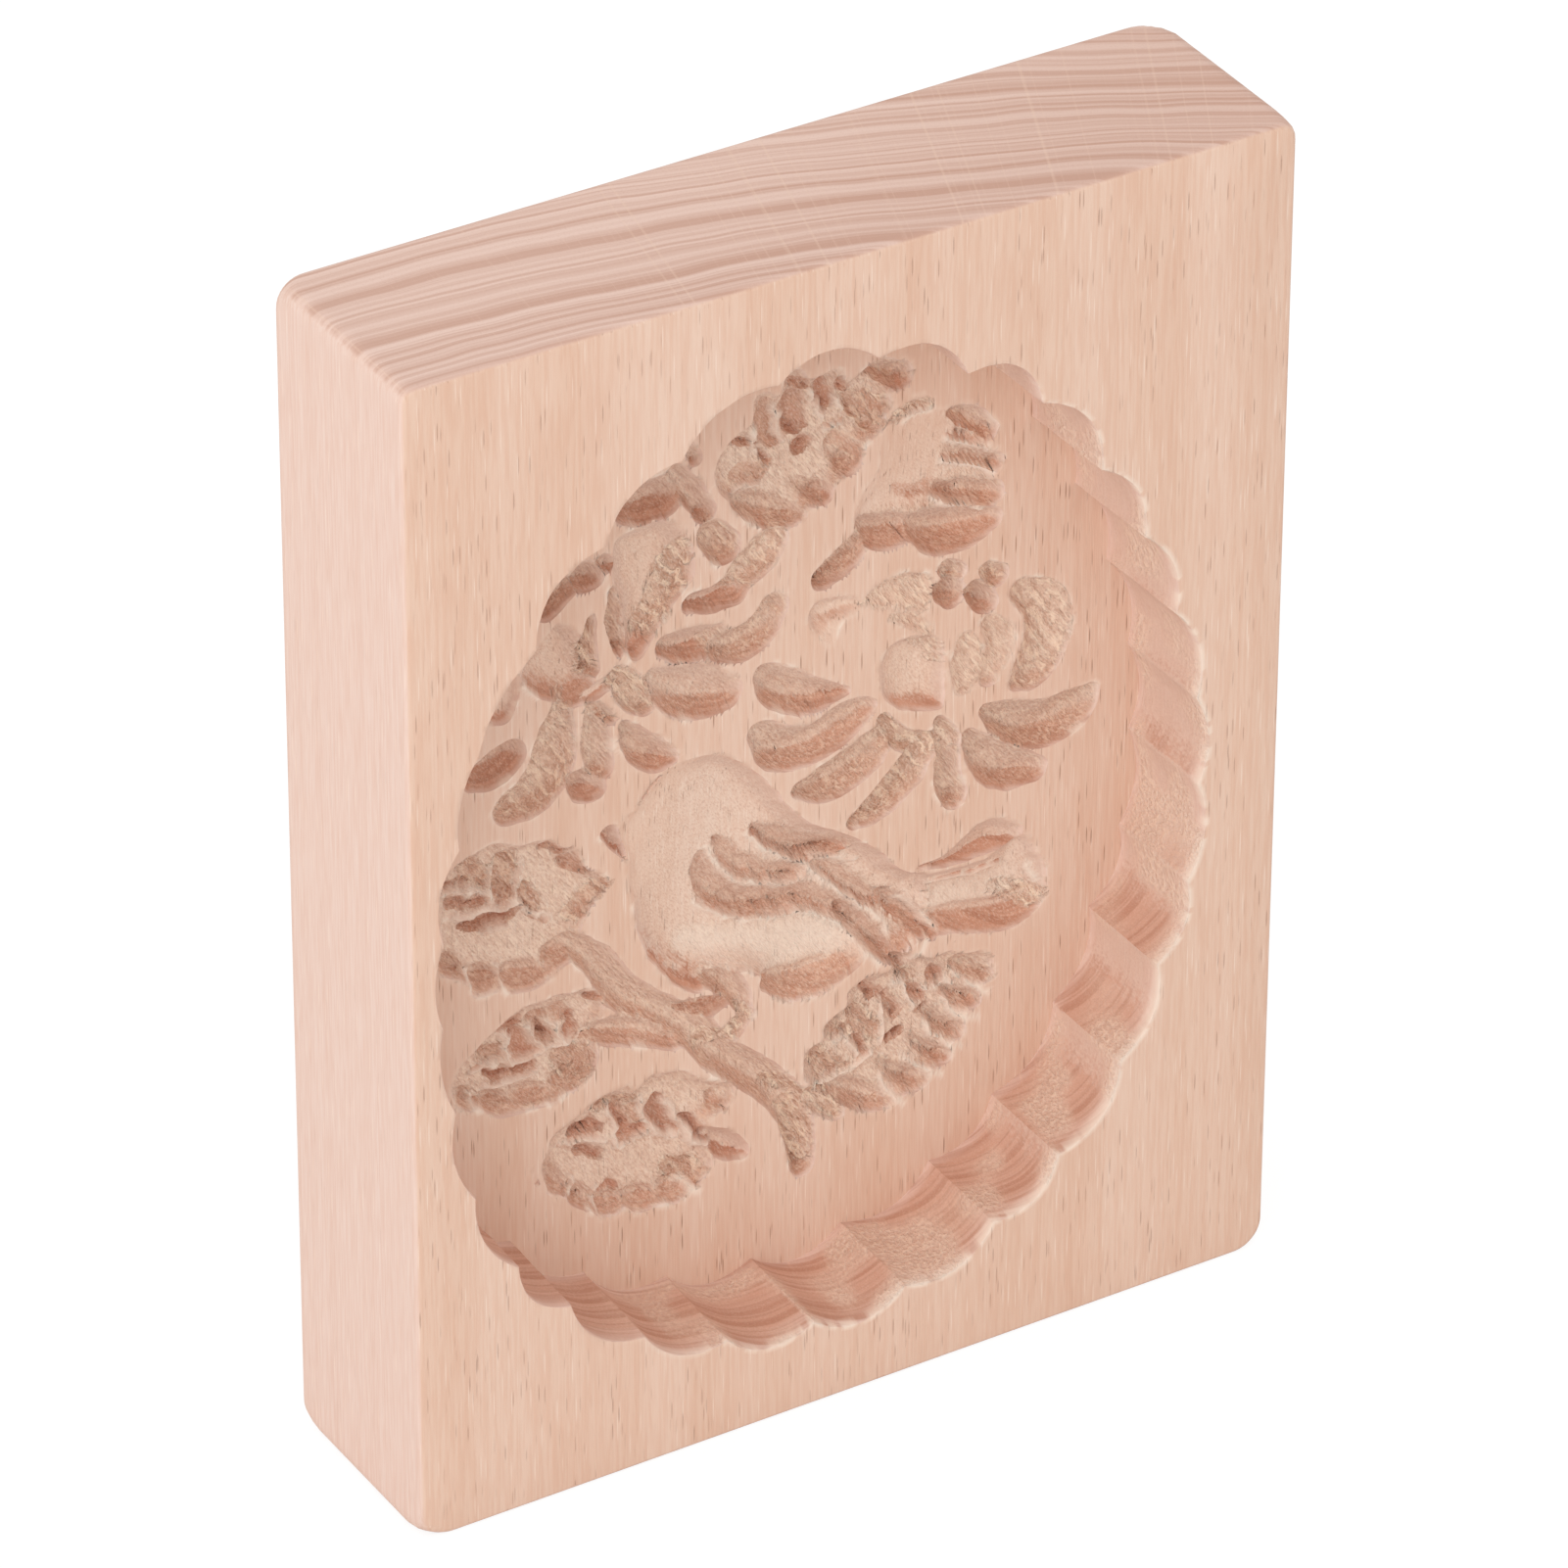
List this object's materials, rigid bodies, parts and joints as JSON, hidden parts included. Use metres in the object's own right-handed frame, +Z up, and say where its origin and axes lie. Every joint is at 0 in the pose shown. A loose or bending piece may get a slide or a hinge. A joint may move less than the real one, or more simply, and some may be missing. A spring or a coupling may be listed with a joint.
{
  "type": "cookie mould",
  "caption": "Upright rectangular beech board with a deep scalloped oval recess, its floor carved with a bird on a flowering branch.",
  "frame": {"origin": "centre of the bottom end, where the board stands on a table", "axes": "+Z up along the grain to the board's top end, -Y out of the carved front face, +X to the right as seen from the front"},
  "size_m": [0.09, 0.022, 0.12],
  "materials": {
    "beech": "sanded and unvarnished outside, cut by gouges and left unsanded inside the recess"
  },
  "bodies": {
    "root": {"mould_block": "beech"}
  },
  "joints": []
}
